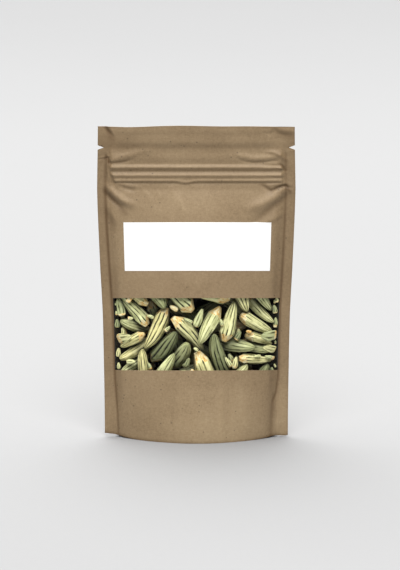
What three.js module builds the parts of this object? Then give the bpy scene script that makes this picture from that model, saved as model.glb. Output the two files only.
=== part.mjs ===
// A kraft paper stand-up pouch with a press-to-close zip, a blank label, and a clear window
// low on its front onto a fill of dried okra pods.
//
// Millimetres, +Z up. The pouch faces -Y, and its side seals lie in the plane y = 0.
// The origin is at the middle of the footprint, on the surface that the pouch stands on.

import * as THREE from 'three';

// ---- Driving dimensions -------------------------------------------------------------------

const POUCH_WIDTH = 160; // laid flat, side seals included
const POUCH_HEIGHT = 260; // from the foot to the top edge
const SIDE_SEAL = 10; // width of the flat seal down each side
const BULGE_DEPTH = 23; // how far each panel stands out from the seals at the foot
const BULGE_TOP = 213.2; // height at which the two panels lie flat again, under the zip
const BULGE_TAPER = 2.3; // 1 is a straight wedge seen from the side, more is rounder
const BULGE_SHOULDER = 0.85; // 1 starts the bulge as a slope, less as a rounded shoulder
const PAPER = 0.8; // panel wall
const CORNER_LIFT = 3.3; // how far the bottom corners stand clear of the surface
const CORNER_START = 35; // distance from the middle at which that lift starts
const CLEARANCE = 0.3; // gap kept between pieces that touch or are welded

const ZIP_ROOM = 1.65; // each panel stands out this far to make room for the zip
const SWELL_FROM = 165; // height from which that room is added to the bulge
const SWELL_FULL = 213; // and at which it is reached
const SWELL_ENDS = 231; // and from which it fades out again
const SWELL_TOP = 243;
const ZIP_RELIEF = 0.8; // height of the three ridges that the zip presses into the panels
const ZIP_HALF_LENGTH = 67;
const ZIP_STRIP = 0.6; // thickness of the zip's backing strips, ribs and lips
const ZIP_RIBS = [219.8, 226]; // heights of the two ribs
const ZIP_RIDGES = [215.4, 219.8, 226]; // heights of the three ridges
const ZIP_VALLEYS = [BULGE_TOP, 217.4, 222.9, 229]; // and of the valleys round them

const NOTCH_HEIGHT = 242.3; // tear notches, one in each side seal
const NOTCH_DEPTH = 5;
const NOTCH_HALF = 1.9;

const LABEL_HALF_WIDTH = 60.5;
const LABEL_BOTTOM = 140;
const LABEL_TOP = 181;
const LABEL_SHEET = 0.6;

const WINDOW_HALF_WIDTH = 68;
const WINDOW_BOTTOM = 57;
const WINDOW_TOP = 117;
const WINDOW_LAP = 7; // the film runs on behind the paper by this much, above and below
const FILM_HALF_WIDTH = 68.6; // and ends just short of the side seals
const FILM = 0.6;
const SIGHT_RISE = 0.23; // label and window rise this much per mm of bulge: level from above

const GUSSET = 0.8;
const GUSSET_HALF_WIDTH = 64;
const GUSSET_GAP = 0.6;
const GUSSET_SEAL = 8; // height of the seal to the panels at the middle
const GUSSET_SEAL_RISE = 30; // and how much higher it runs at the sides
const GUSSET_FOLD = 18; // height of the fold at the middle
const GUSSET_FOLD_RISE = 22;

const POD_SEED = 31;
const FACET_SAG = 0.2; // a panel's flat facets lie this far inside its curve at most
const POD_SIDES = 10; // two for each of the five ridges
const POD_RIDGE = 0.07; // ridges stand out, and furrows sink in, by this share of the radius
const POD_BEND = 0.04; // bow of a pod, as a share of its length

// ---- The pouch's form ---------------------------------------------------------------------

const HALF_WIDTH = POUCH_WIDTH / 2;
const HALF_ARC = HALF_WIDTH - SIDE_SEAL; // from the middle to the seal, along the paper

const ROUNDS = 12; // of each search for a place along the paper, which then is exact
const TINY = 1e-9;

const smoothstep = (from, to, value) => {
  const t = THREE.MathUtils.clamp((value - from) / (to - from), 0, 1);
  return t * t * (3 - 2 * t);
};

// How far a panel stands out at the middle, at height z.
function bulge(z) {
  if (z >= BULGE_TOP) return 0;
  const wedge = 1 - Math.pow(Math.max(z, 0) / BULGE_TOP, BULGE_TAPER);
  return BULGE_DEPTH * Math.pow(wedge, BULGE_SHOULDER);
}

// Length along the parabola y = depth * (1 - (x / reach)^2) from its top out to x.
function arcLength(x, depth, reach) {
  const k = (2 * depth) / (reach * reach);
  if (k < TINY) return x;
  return (x * Math.hypot(1, k * x)) / 2 + Math.asinh(k * x) / (2 * k);
}

// Half the width that the bulged part of the panel spans: its paper keeps its length.
function reachAt(z) {
  const depth = bulge(z);
  let reach = HALF_ARC;
  for (let i = 0; i < ROUNDS; i++) reach *= HALF_ARC / arcLength(reach, depth, reach);
  return reach;
}

// The place across the pouch of the point that lies u along the paper from the middle.
function acrossAt(u, z) {
  const along = Math.abs(u);
  const depth = bulge(z);
  const reach = reachAt(z);
  if (along >= HALF_ARC) return Math.sign(u) * (reach + along - HALF_ARC);
  let x = along;
  for (let i = 0; i < ROUNDS; i++) x -= arcLength(x, depth, reach) - along;
  return Math.sign(u) * x;
}

// Half the space between the panels at (x, z), without the zip.
function halfDepth(x, z) {
  return bulge(z) * (1 - (x / reachAt(z)) ** 2);
}

// The zip's room and ridges, added to the half space.
function zipSwell(u, z) {
  const inside = 1 - smoothstep(WINDOW_HALF_WIDTH, HALF_ARC, Math.abs(u));
  const room = smoothstep(SWELL_FROM, SWELL_FULL, z) * (1 - smoothstep(SWELL_ENDS, SWELL_TOP, z));
  const ridge = ZIP_RIDGES.some((height) => Math.abs(z - height) < 0.1) ? ZIP_RELIEF : 0;
  return inside * (ZIP_ROOM * room + ridge);
}

// Rows that cross the bulge rise with it, and the foot lifts towards its corners.
function heightAt(u, row) {
  const x = acrossAt(u, row);
  const bulged = Math.max(halfDepth(x, row), 0);
  const rise = SIGHT_RISE * smoothstep(0, WINDOW_BOTTOM, row) * bulged;
  const beyond = Math.max(Math.abs(u) - CORNER_START, 0) / (HALF_WIDTH - CORNER_START);
  return row + rise + CORNER_LIFT * beyond * beyond * (1 - smoothstep(0, WINDOW_BOTTOM, row));
}

// The inner face of the front panel.
function innerFace(u, row) {
  const z = heightAt(u, row);
  const x = acrossAt(u, z);
  const swell = Math.abs(u) < HALF_ARC ? Math.max(halfDepth(x, z), 0) : 0;
  return new THREE.Vector3(x, -(CLEARANCE / 2 + swell + zipSwell(u, row)), z);
}

// ---- Thin sheets --------------------------------------------------------------------------

const COLUMNS = [12, 24, 36, 48, LABEL_HALF_WIDTH, GUSSET_HALF_WIDTH, WINDOW_HALF_WIDTH,
  HALF_ARC, HALF_WIDTH];
const ACROSS = [...COLUMNS.map((u) => -u).reverse(), 0, ...COLUMNS];
const FILM_BOTTOM = WINDOW_BOTTOM - WINDOW_LAP;
const FILM_TOP = WINDOW_TOP + WINDOW_LAP;
// Every edge and crease has its own row or column, and the rest keep the facets short.
const UPWARDS = [0, GUSSET_SEAL, 20, 34, FILM_BOTTOM, WINDOW_BOTTOM, 72, 87, 102, WINDOW_TOP,
  FILM_TOP, 131, LABEL_BOTTOM, 153, 167, LABEL_TOP, 194, 205,
  ...[...ZIP_RIDGES, ...ZIP_VALLEYS].sort((a, b) => a - b), SWELL_ENDS, 235,
  NOTCH_HEIGHT - NOTCH_HALF, NOTCH_HEIGHT, NOTCH_HEIGHT + NOTCH_HALF, 251, POUCH_HEIGHT];

const gridOf = (rows, columns, place) => rows.map((row) => columns.map((u) => place(u, row)));

// The grid moved along its own normals, which are the mean of the faces round each point.
function offsetGrid(grid, distance) {
  const normals = grid.map((line) => line.map(() => new THREE.Vector3()));
  for (let i = 0; i + 1 < grid.length; i++) {
    for (let j = 0; j + 1 < grid[0].length; j++) {
      const rise = grid[i + 1][j + 1].clone().sub(grid[i][j]);
      const run = grid[i][j + 1].clone().sub(grid[i + 1][j]);
      const normal = run.cross(rise).normalize();
      for (const [r, c] of [[i, j], [i, j + 1], [i + 1, j], [i + 1, j + 1]]) {
        normals[r][c].add(normal);
      }
    }
  }
  return grid.map((line, i) =>
    line.map((point, j) => point.clone().addScaledVector(normals[i][j].normalize(), distance)),
  );
}

const mirrored = (grid) =>
  grid.map((line) => line.map((point) => new THREE.Vector3(point.x, -point.y, point.z)));

// A closed wall between two grids of the same shape, with a rim round it and round its cuts.
function wallBetween(near, far, isCut = () => false) {
  const rows = near.length - 1;
  const columns = near[0].length - 1;
  const points = [];
  const quad = (a, b, c, d) => points.push(a, b, c, a, c, d);
  const isWall = (i, j) => i >= 0 && j >= 0 && i < rows && j < columns && !isCut(i, j);
  for (let i = 0; i < rows; i++) {
    for (let j = 0; j < columns; j++) {
      if (!isWall(i, j)) continue;
      const corners = [[i, j], [i, j + 1], [i + 1, j + 1], [i + 1, j]];
      const n = corners.map(([r, c]) => near[r][c]);
      const f = corners.map(([r, c]) => far[r][c]);
      quad(...n);
      points.push(f[2], f[1], f[0], f[3], f[2], f[0]);
      const beside = [[i - 1, j], [i, j + 1], [i + 1, j], [i, j - 1]];
      beside.forEach(([r, c], k) => {
        const next = (k + 1) % 4;
        if (!isWall(r, c)) quad(n[next], n[k], f[k], f[next]);
      });
    }
  }
  return closedGeometry(points);
}

// Triangles from a flat list of points, turned to face outwards.
function closedGeometry(points) {
  let volume = 0;
  for (let i = 0; i < points.length; i += 3) {
    volume += points[i].dot(points[i + 1].clone().cross(points[i + 2]));
  }
  if (volume < 0) {
    for (let i = 0; i < points.length; i += 3) {
      [points[i + 1], points[i + 2]] = [points[i + 2], points[i + 1]];
    }
  }
  const geometry = new THREE.BufferGeometry().setFromPoints(points);
  geometry.computeVertexNormals();
  return geometry;
}

// A sheet from a grid to its offset. Its first and last rows are cut level.
function sheetSolid(grid, thickness, isCut) {
  const far = offsetGrid(grid, thickness);
  for (const i of [0, grid.length - 1]) {
    far[i].forEach((point, j) => point.setZ(grid[i][j].z));
  }
  return wallBetween(grid, far, isCut);
}

const pouch = new THREE.Group();

function addPiece(name, geometry, color, roughness, more = {}) {
  const material = new THREE.MeshStandardMaterial({ color, roughness, metalness: 0, ...more });
  const mesh = new THREE.Mesh(geometry, material);
  mesh.name = name;
  pouch.add(mesh);
  return mesh;
}

// ---- Panels: one sheet of kraft in front, with the window cut from it, and one behind -----

const panelFace = gridOf(UPWARDS, ACROSS, innerFace);

// A tear notch draws the outer column in at one row.
const notchRow = UPWARDS.indexOf(NOTCH_HEIGHT);
for (const point of [panelFace[notchRow][0], panelFace[notchRow].at(-1)]) {
  point.x -= Math.sign(point.x) * NOTCH_DEPTH;
}

const windowRows = [UPWARDS.indexOf(WINDOW_BOTTOM), UPWARDS.indexOf(WINDOW_TOP)];
const windowColumns = [
  ACROSS.indexOf(-WINDOW_HALF_WIDTH),
  ACROSS.indexOf(WINDOW_HALF_WIDTH),
];
const isWindow = (i, j) =>
  i >= windowRows[0] && i < windowRows[1] && j >= windowColumns[0] && j < windowColumns[1];

addPiece('front_panel', sheetSolid(panelFace, PAPER, isWindow), 0xa98c62, 0.85);
addPiece('back_panel', sheetSolid(mirrored(panelFace), -PAPER), 0xa98c62, 0.85);

// ---- Window film, behind the paper, and the label on it -----------------------------------

const rowsBetween = (low, high) => UPWARDS.filter((z) => z >= low && z <= high);
const columnsWithin = (half) => ACROSS.filter((u) => Math.abs(u) <= half);

const filmColumns = [
  -FILM_HALF_WIDTH,
  ...columnsWithin(WINDOW_HALF_WIDTH),
  FILM_HALF_WIDTH,
];
const filmFace = gridOf(rowsBetween(FILM_BOTTOM, FILM_TOP), filmColumns, innerFace);
const filmOuter = offsetGrid(filmFace, -CLEARANCE);
addPiece('window_film', sheetSolid(filmOuter, -FILM), 0xdfe6e4, 0.1,
  { transparent: true, opacity: 0.3 });

const labelFace = gridOf(
  rowsBetween(LABEL_BOTTOM, LABEL_TOP),
  columnsWithin(LABEL_HALF_WIDTH),
  innerFace,
);
const labelBack = offsetGrid(labelFace, PAPER + CLEARANCE);
addPiece('label', sheetSolid(labelBack, LABEL_SHEET), 0xfaf8f4, 0.6);

// ---- Bottom gusset: sealed inside the foot of both panels, and folded up between them ------

const gussetGrid = (() => {
  const columns = columnsWithin(GUSSET_HALF_WIDTH);
  const share = (u) => (u / GUSSET_HALF_WIDTH) ** 2;
  const sealTop = (u) => GUSSET_SEAL + GUSSET_SEAL_RISE * share(u);
  const onSeal = (u, z) => {
    const x = acrossAt(u, z);
    return new THREE.Vector3(x, GUSSET_GAP - CLEARANCE / 2 - halfDepth(x, z), z);
  };
  const fold = (u) => {
    const z = GUSSET_FOLD + GUSSET_FOLD_RISE * share(u);
    return new THREE.Vector3(acrossAt(u, z), 0, z);
  };
  const front = [
    (u) => onSeal(u, heightAt(u, 0)),
    (u) => onSeal(u, (heightAt(u, 0) + sealTop(u)) / 2),
    (u) => onSeal(u, sealTop(u)),
    (u) => onSeal(u, sealTop(u)).lerp(fold(u), 0.5),
  ].map((place) => columns.map(place));
  return [...front, columns.map(fold), ...mirrored(front).reverse()];
})();
addPiece('bottom_gusset', sheetSolid(gussetGrid, -GUSSET), 0xa08358, 0.85);

// ---- Zip: a strip with two ribs in front, and one with two channels behind ----------------

const ZIP_BACK = CLEARANCE / 2 + ZIP_ROOM - CLEARANCE; // |y| of the face against the panel
const ZIP_FACE = ZIP_BACK - ZIP_STRIP; // |y| of the face that the ribs or lips stand on
const RIB_HALF = 0.4;
const ZIP_BOTTOM = 213.4;
const ZIP_LENGTH_UP = 16.4;

// A strip from y = back to y = face with teeth that reach y = tip, drawn in the (y, z) plane.
function zipStrip(back, face, tip, teeth) {
  const top = ZIP_BOTTOM + ZIP_LENGTH_UP;
  const outline = [[back, ZIP_BOTTOM], [back, top], [face, top]];
  for (const [low, high] of [...teeth].reverse()) {
    outline.push([face, high], [tip, high], [tip, low], [face, low]);
  }
  outline.push([face, ZIP_BOTTOM]);
  const shape = new THREE.Shape(outline.map(([y, z]) => new THREE.Vector2(y, z)));
  const length = 2 * ZIP_HALF_LENGTH;
  const geometry = new THREE.ExtrudeGeometry(shape, { depth: length, bevelEnabled: false });
  const yAxis = new THREE.Vector3(0, 1, 0);
  const zAxis = new THREE.Vector3(0, 0, 1);
  const xAxis = new THREE.Vector3(1, 0, 0);
  geometry.applyMatrix4(new THREE.Matrix4().makeBasis(yAxis, zAxis, xAxis));
  return geometry.translate(-ZIP_HALF_LENGTH, 0, 0);
}

const ribs = ZIP_RIBS.map((z) => [z - RIB_HALF, z + RIB_HALF]);
const lips = ZIP_RIBS.flatMap((z) => {
  const near = RIB_HALF + CLEARANCE;
  const far = near + ZIP_STRIP;
  return [[z - far, z - near], [z + near, z + far]];
});
const RIB_TIP = ZIP_FACE - CLEARANCE;
addPiece('zip_track_front', zipStrip(-ZIP_BACK, -ZIP_FACE, RIB_TIP, ribs), 0xe6e4dc, 0.4);
addPiece('zip_track_back', zipStrip(ZIP_BACK, ZIP_FACE, -RIB_TIP, lips), 0xe6e4dc, 0.4);

// ---- Okra pods ----------------------------------------------------------------------------

// Radius at each station from the cut stem end to the tip, as shares of length and radius.
const POD_PROFILE = [[0, 0.4], [0.08, 0.7], [0.15, 0.98], [0.45, 1], [0.7, 0.84],
  [0.89, 0.5], [1, 0]];

// The numbers of a seeded draw, the same on every run.
function seededRandom(seed) {
  let state = seed;
  return () => {
    state = (state + 0x6d2b79f5) | 0;
    let mixed = Math.imul(state ^ (state >>> 15), 1 | state);
    mixed = (mixed + Math.imul(mixed ^ (mixed >>> 7), 61 | mixed)) ^ mixed;
    return ((mixed ^ (mixed >>> 14)) >>> 0) / 4294967296;
  };
}

function podRadius(t, radius) {
  const next = POD_PROFILE.findIndex(([at]) => at >= t && at > 0);
  const [t0, r0] = POD_PROFILE[next - 1];
  const [t1, r1] = POD_PROFILE[next];
  return radius * (r0 + ((r1 - r0) * (t - t0)) / (t1 - t0));
}

const podBow = (t, length) => POD_BEND * length * (1 - (2 * t - 1) ** 2);

// A pod along its own Y, stem end at -Y, ridged round its girth and bowed towards +X.
function podGeometry(length, radius) {
  const profile = POD_PROFILE.map(([t, r]) => new THREE.Vector2(r * radius, (t - 0.5) * length));
  profile.unshift(new THREE.Vector2(0, -length / 2));
  const geometry = new THREE.LatheGeometry(profile, POD_SIDES);
  const position = geometry.getAttribute('position');
  for (let i = 0; i < position.count; i++) {
    const x = position.getX(i);
    const z = position.getZ(i);
    const side = Math.round((Math.atan2(z, x) / (2 * Math.PI)) * POD_SIDES);
    const ridge = 1 + POD_RIDGE * (side % 2 === 0 ? 1 : -1);
    const bow = podBow(position.getY(i) / length + 0.5, length);
    position.setXYZ(i, x * ridge + bow, position.getY(i), z * ridge);
  }
  return geometry;
}

// The pods start small and apart, and grow while they sink, lean out and push each other and
// the walls away. Each is a stiff chain of balls for this.
const BALLS = 10;
const SETTLE_STEPS = 1200;
const GROWN_BY = 0.6; // share of the steps after which the pods have their full size
const STILL_BY = 0.75; // and after which they only push each other apart
const FIRST_SIZE = 0.4;
const SLIM_PASSES = 4;
const CELL = [0.3, 0.7]; // where in its cell a pod starts, across and up
const SIDE_LEAN = 1.1; // the most that a side pod slants up or down at the start, in radians
const POD_TILT = 0.3; // and any pod forwards or back

// Where each lot of pods starts: columns over a width, rows over a height, and how far forward
// as a share of the half depth. Drift is what each moves by at every step, and outwards means
// that a pod's tip points to the nearer side seal.
const POD_LOTS = [
  { columns: 4, rows: 2, width: 92, heights: [22, 48], forward: 0, length: [33, 40],
    radius: [6.2, 7.1], outwards: false, drift: [0, 0, -0.03] },
  { columns: 2, rows: 9, width: 214, heights: [50, 128], forward: 0, length: [24, 34],
    radius: [4.2, 5.6], outwards: true, drift: [0.06, -0.01, -0.01] },
  { columns: 4, rows: 4, width: 108, heights: [54, 131], forward: 0.5, length: [30, 42],
    radius: [5.8, 7.2], outwards: false, drift: [0.02, -0.03, -0.015] },
  { columns: 5, rows: 2, width: 96, heights: [58, 131], forward: -0.5, length: [32, 42],
    radius: [6.2, 7.4], outwards: false, drift: [0, 0, -0.015] },
];

function startingPods() {
  const random = seededRandom(POD_SEED);
  const between = (low, high) => low + (high - low) * random();
  const pods = [];
  for (const lot of POD_LOTS) {
    for (let n = 0; n < lot.columns * lot.rows; n++) {
      const length = between(...lot.length);
      const radius = between(...lot.radius);
      const column = (n % lot.columns) + between(...CELL);
      const row = Math.floor(n / lot.columns) + between(...CELL);
      const x = (column / lot.columns - 0.5) * lot.width;
      const z = lot.heights[0] + ((lot.heights[1] - lot.heights[0]) * row) / lot.rows;
      const y = -lot.forward * halfDepth(x, z) + between(-1, 1);
      const sideways = between(-SIDE_LEAN, SIDE_LEAN) + (x < 0 ? Math.PI : 0);
      const anyWay = between(0, 2 * Math.PI);
      const lean = lot.outwards ? sideways : anyWay;
      const tilt = between(-POD_TILT, POD_TILT);
      const axis = new THREE.Vector3(
        Math.cos(lean) * Math.cos(tilt),
        Math.sin(tilt),
        Math.sin(lean) * Math.cos(tilt),
      );
      const turn = new THREE.Quaternion().setFromUnitVectors(new THREE.Vector3(0, 1, 0), axis);
      turn.premultiply(new THREE.Quaternion().setFromAxisAngle(axis, anyWay));
      const balls = [];
      for (let k = 0; k < BALLS; k++) {
        const t = (k + 0.5) / BALLS;
        const home = new THREE.Vector3(podBow(t, length), (t - 0.5) * length, 0);
        const girth = podRadius(t, radius) * (1 + POD_RIDGE);
        balls.push({ home, radius: girth, centre: home.clone() });
      }
      const drift = new THREE.Vector3(...lot.drift);
      drift.x *= Math.sign(x);
      pods.push({ length, radius, place: new THREE.Vector3(x, y, z), turn, balls, drift });
    }
  }
  return pods;
}

function settlePods() {
  const pods = startingPods();
  let size = FIRST_SIZE;
  const refresh = (pod) => {
    for (const ball of pod.balls) {
      ball.centre.copy(ball.home).multiplyScalar(size).applyQuaternion(pod.turn).add(pod.place);
    }
  };

  // Moves a pod, as a stiff body, so that it gives way at a point along a direction.
  const lever = new THREE.Vector3();
  const swing = new THREE.Quaternion();
  const inertia = (pod) => (pod.length * size) ** 2 / 12;
  const yielding = (pod, point, along) => {
    lever.copy(point).sub(pod.place).cross(along);
    return 1 + lever.lengthSq() / inertia(pod);
  };
  const push = (pod, point, along, amount) => {
    lever.copy(point).sub(pod.place).cross(along).multiplyScalar(amount / inertia(pod));
    const angle = lever.length();
    pod.place.addScaledVector(along, amount);
    if (angle > TINY) {
      swing.setFromAxisAngle(lever.divideScalar(angle), angle);
      pod.turn.premultiply(swing).normalize();
    }
    refresh(pod);
  };

  // Walls: the film in front, the back panel, and the gusset below. The parabola goes on past
  // the seals with its sign turned, so a ball outside is pushed back in as well.
  const along = new THREE.Vector3();
  const wallGap = (ball, side) => {
    const { x, y, z } = ball.centre;
    const liner = FACET_SAG + CLEARANCE + (side < 0 ? CLEARANCE + FILM : 0);
    const room = halfDepth(x, z) - liner - side * y;
    const slopeX = halfDepth(x + 0.5, z) - halfDepth(x - 0.5, z);
    const slopeZ = halfDepth(x, z + 0.5) - halfDepth(x, z - 0.5);
    along.set(slopeX, -side, slopeZ);
    const steep = along.length();
    along.divideScalar(steep);
    return room / steep - ball.radius * size;
  };
  const gussetReach = acrossAt(GUSSET_HALF_WIDTH, GUSSET_FOLD);
  const floorGap = (ball) => {
    const { x, z } = ball.centre;
    const floor = GUSSET_FOLD + GUSSET_FOLD_RISE * (x / gussetReach) ** 2 + GUSSET + FACET_SAG;
    along.set((-2 * GUSSET_FOLD_RISE * x) / gussetReach ** 2, 0, 1);
    const steep = along.length();
    along.divideScalar(steep);
    return (z - floor) / steep - CLEARANCE - ball.radius * size;
  };
  const walls = [(ball) => wallGap(ball, -1), (ball) => wallGap(ball, 1), floorGap];

  const keepInside = (pod) => {
    for (const wall of walls) {
      for (const ball of pod.balls) {
        const gap = wall(ball);
        if (gap >= 0) continue;
        const point = ball.centre.clone();
        push(pod, point, along, -gap / yielding(pod, point, along));
      }
    }
  };

  // The deepest pair of balls of two pods, or null if the pods are apart.
  const deepest = (a, b) => {
    if (a.place.distanceTo(b.place) > ((a.length + b.length) * size) / 2) return null;
    let worst = null;
    for (const p of a.balls) {
      for (const q of b.balls) {
        const gap = p.centre.distanceTo(q.centre) - (p.radius + q.radius) * size - CLEARANCE;
        if (gap < 0 && (!worst || gap < worst.gap)) worst = { p, q, gap };
      }
    }
    return worst;
  };

  const contacts = () =>
    pods.flatMap((pod, i) =>
      pods.slice(i + 1).flatMap((other) => {
        const contact = deepest(pod, other);
        return contact ? [{ pod, other, ...contact }] : [];
      }),
    );

  pods.forEach(refresh);
  for (let step = 0; step < SETTLE_STEPS; step++) {
    const grown = Math.min(step / (GROWN_BY * SETTLE_STEPS), 1);
    size = FIRST_SIZE + (1 - FIRST_SIZE) * grown;
    for (const pod of pods) {
      if (step < STILL_BY * SETTLE_STEPS) pod.place.add(pod.drift);
      refresh(pod);
    }
    for (const { pod, other, p, q, gap } of contacts()) {
      const away = p.centre.clone().sub(q.centre).normalize();
      const point = p.centre.clone().lerp(q.centre, 0.5);
      const amount = -gap / (yielding(pod, point, away) + yielding(other, point, away));
      push(pod, point, away, amount);
      push(other, point, away.negate(), amount);
    }
    pods.forEach(keepInside);
  }

  // Pods that still press on each other both lose a little girth.
  const slim = (pod, share) => {
    pod.radius *= share;
    for (const ball of pod.balls) ball.radius *= share;
  };
  for (let pass = 0; pass < SLIM_PASSES; pass++) {
    for (const { pod, other, p, q, gap } of contacts()) {
      slim(pod, 1 + gap / 2 / p.radius);
      slim(other, 1 + gap / 2 / q.radius);
    }
  }
  return pods;
}

settlePods().forEach((pod, i) => {
  const name = `okra_pod_${String(i + 1).padStart(2, '0')}`;
  const mesh = addPiece(name, podGeometry(pod.length, pod.radius), 0xa8ad80, 0.8);
  mesh.position.copy(pod.place);
  mesh.quaternion.copy(pod.turn);
});

export default pouch;
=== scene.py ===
# The looks of a kraft stand-up pouch of dried okra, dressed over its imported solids.
# Metres, +Z up, the pouch facing -Y. Lengths in millimetres are multiplied by MM where a
# mesh gets its points.

import math

import bpy
import numpy as np
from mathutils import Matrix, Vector, noise


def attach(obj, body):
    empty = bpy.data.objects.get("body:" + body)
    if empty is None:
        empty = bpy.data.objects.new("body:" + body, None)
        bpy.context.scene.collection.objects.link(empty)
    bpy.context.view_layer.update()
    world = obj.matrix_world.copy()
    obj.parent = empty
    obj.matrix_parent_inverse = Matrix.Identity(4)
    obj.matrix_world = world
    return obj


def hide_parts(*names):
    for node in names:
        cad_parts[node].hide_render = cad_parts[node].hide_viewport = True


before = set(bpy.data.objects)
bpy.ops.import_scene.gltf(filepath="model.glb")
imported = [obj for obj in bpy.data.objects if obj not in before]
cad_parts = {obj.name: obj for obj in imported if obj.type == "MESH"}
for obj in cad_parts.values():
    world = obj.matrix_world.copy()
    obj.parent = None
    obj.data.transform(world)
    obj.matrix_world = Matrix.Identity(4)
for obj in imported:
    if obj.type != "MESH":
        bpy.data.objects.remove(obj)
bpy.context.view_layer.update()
bpy.ops.object.select_all(action="DESELECT")

# ---- Camera, lights and floor ---------------------------------------------------------------
# A small studio: one long lens a little above the pouch, a broad overhead light on either
# side of it, and matt paper on the floor that runs far behind it.

MM = 0.001
VIEW_HEIGHT = math.radians(13)  # of the camera above the horizon
VIEW_DISTANCE = 3.5
VIEW_UP = Vector((0, math.sin(VIEW_HEIGHT), math.cos(VIEW_HEIGHT)))
AIM = Vector((0.003, 0, 0.13)) - 0.0022 * VIEW_UP  # the middle of the pouch, nearly
FLOOR_RADIUS = 9

camera_data = bpy.data.cameras.new("long_lens")
camera_data.lens = 270.5
camera_data.sensor_width = 36
camera_data.clip_end = 30
camera = bpy.data.objects.new("camera", camera_data)
bpy.context.scene.collection.objects.link(camera)
towards_camera = Vector((0, -math.cos(VIEW_HEIGHT), math.sin(VIEW_HEIGHT)))
camera.location = AIM + VIEW_DISTANCE * towards_camera
camera.rotation_euler = (math.pi / 2 - VIEW_HEIGHT, 0, 0)
bpy.context.scene.camera = camera
bpy.context.scene.view_settings.view_transform = "Standard"


def overhead(name, height, turn, breadth, strength):
    """A broad, far light at this height above the horizon, turned round from straight ahead.
    Angles in degrees."""
    light = bpy.data.lights.new(name, "SUN")
    light.angle = math.radians(breadth)
    light.energy = strength
    lamp = bpy.data.objects.new(name, light)
    lamp.rotation_euler = (math.radians(90 - height), 0, math.radians(turn))
    bpy.context.scene.collection.objects.link(lamp)


overhead("front_light", 57, 1, 44, 4.05)
overhead("back_light", 67, -158, 70, 7.7)

room = bpy.data.worlds.new("pale_room")
room.use_nodes = True
room.node_tree.nodes["Background"].inputs["Color"].default_value = (0.97, 0.98, 1.0, 1)
room.node_tree.nodes["Background"].inputs["Strength"].default_value = 0.13
bpy.context.scene.world = room


class Value:
    """A value that changes over a surface: the output of one shader node. Operators on values
    and numbers add the Math nodes that work them out."""

    def __init__(self, socket):
        self.socket = socket

    def node(self, kind, settings, inputs, output=0):
        """Adds any other node to the same material: its settings first, then its sockets."""
        tree = self.socket.id_data
        made = tree.nodes.new("ShaderNode" + kind)
        for name, setting in settings.items():
            if name == "stops":
                ramp = made.color_ramp.elements
                while len(ramp) < len(setting):
                    ramp.new(0.5)
                for element, (position, colour) in zip(ramp, setting):
                    element.position = position
                    element.color = (*colour, 1)
            else:
                setattr(made, name, setting)
        for name, given in inputs.items():
            if isinstance(given, Value):
                tree.links.new(given.socket, made.inputs[name])
            else:
                made.inputs[name].default_value = given
        return Value(made.outputs[output])

    def math(self, operation, first, second):
        return self.node("Math", {"operation": operation}, {0: first, 1: second})

    def __add__(self, other):
        return self.math("ADD", self, other)

    def __sub__(self, other):
        return self.math("SUBTRACT", self, other)

    def __rsub__(self, other):
        return self.math("SUBTRACT", other, self)

    def __mul__(self, other):
        return self.math("MULTIPLY", self, other)

    def __pow__(self, other):
        return self.math("POWER", self, other)

    __radd__ = __add__
    __rmul__ = __mul__

    def step(self, low, high):
        """0 up to low, 1 from high on, and smooth in between."""
        settings = {"interpolation_type": "SMOOTHSTEP"}
        return self.node("MapRange", settings, {"Value": self, "From Min": low, "From Max": high})

    def between(self, low, high):
        """The colour low where this value is 0, high where it is 1."""
        return self.node("Mix", {"data_type": "RGBA"}, {0: self, 6: low, 7: high}, 2)

    def noise(self, scale, detail=2.0, roughness=0.5, distortion=0.0):
        """Noise on these coordinates. Scale is in grains a metre."""
        sockets = {"Vector": self, "Scale": scale, "Detail": detail, "Roughness": roughness,
                   "Distortion": distortion}
        return self.node("TexNoise", {}, sockets)

    def stretched(self, x, y, z):
        """These coordinates multiplied by x, y and z."""
        return self.node("Mapping", {}, {"Vector": self, "Scale": (x, y, z)})

    def bump(self, depth):
        """A normal from this value as a height, where 1 is depth metres."""
        return self.node("Bump", {}, {"Height": self, "Distance": depth})

    def feed(self, material, name):
        shader = material.node_tree.nodes["Principled BSDF"]
        material.node_tree.links.new(self.socket, shader.inputs[name])


def new_material(name, constants):
    """A Principled material with these constants, and its Object coordinates in metres."""
    material = bpy.data.materials.new(name)
    material.use_nodes = True
    for socket, constant in constants.items():
        material.node_tree.nodes["Principled BSDF"].inputs[socket].default_value = constant
    coordinates = material.node_tree.nodes.new("ShaderNodeTexCoord")
    return material, Value(coordinates.outputs["Object"])


bpy.ops.mesh.primitive_circle_add(vertices=96, radius=FLOOR_RADIUS, fill_type="NGON")
floor = bpy.context.object
floor.name = "floor"
floor_paper, place = new_material("floor_paper", {"Roughness": 0.9})
# Painted light: the floor is painted palest just behind the pouch, and darker nearer the lens and
# towards the horizon, as the light falls off.
away = place.node("SeparateXYZ", {}, {"Vector": place}, 1)
painted_floor_light = 0.2 + 0.0185 * away.step(-0.3, 0.25) - 0.036 * away.step(1, 2.6)
painted_floor_light = painted_floor_light + 0.004 * place.noise(3)
grey = painted_floor_light.node("CombineColor", {}, {0: painted_floor_light, 1: painted_floor_light, 2: painted_floor_light})
grey.feed(floor_paper, "Base Color")
place.noise(700, 3).bump(0.0001).feed(floor_paper, "Normal")
floor.data.materials.append(floor_paper)

# ---- Front and back panels ------------------------------------------------------------------
# Two sheets of brown kraft laminate, heat sealed to each other down both sides and along the
# top. The front one has the window punched out of it, and both take the press of the zip.

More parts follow.
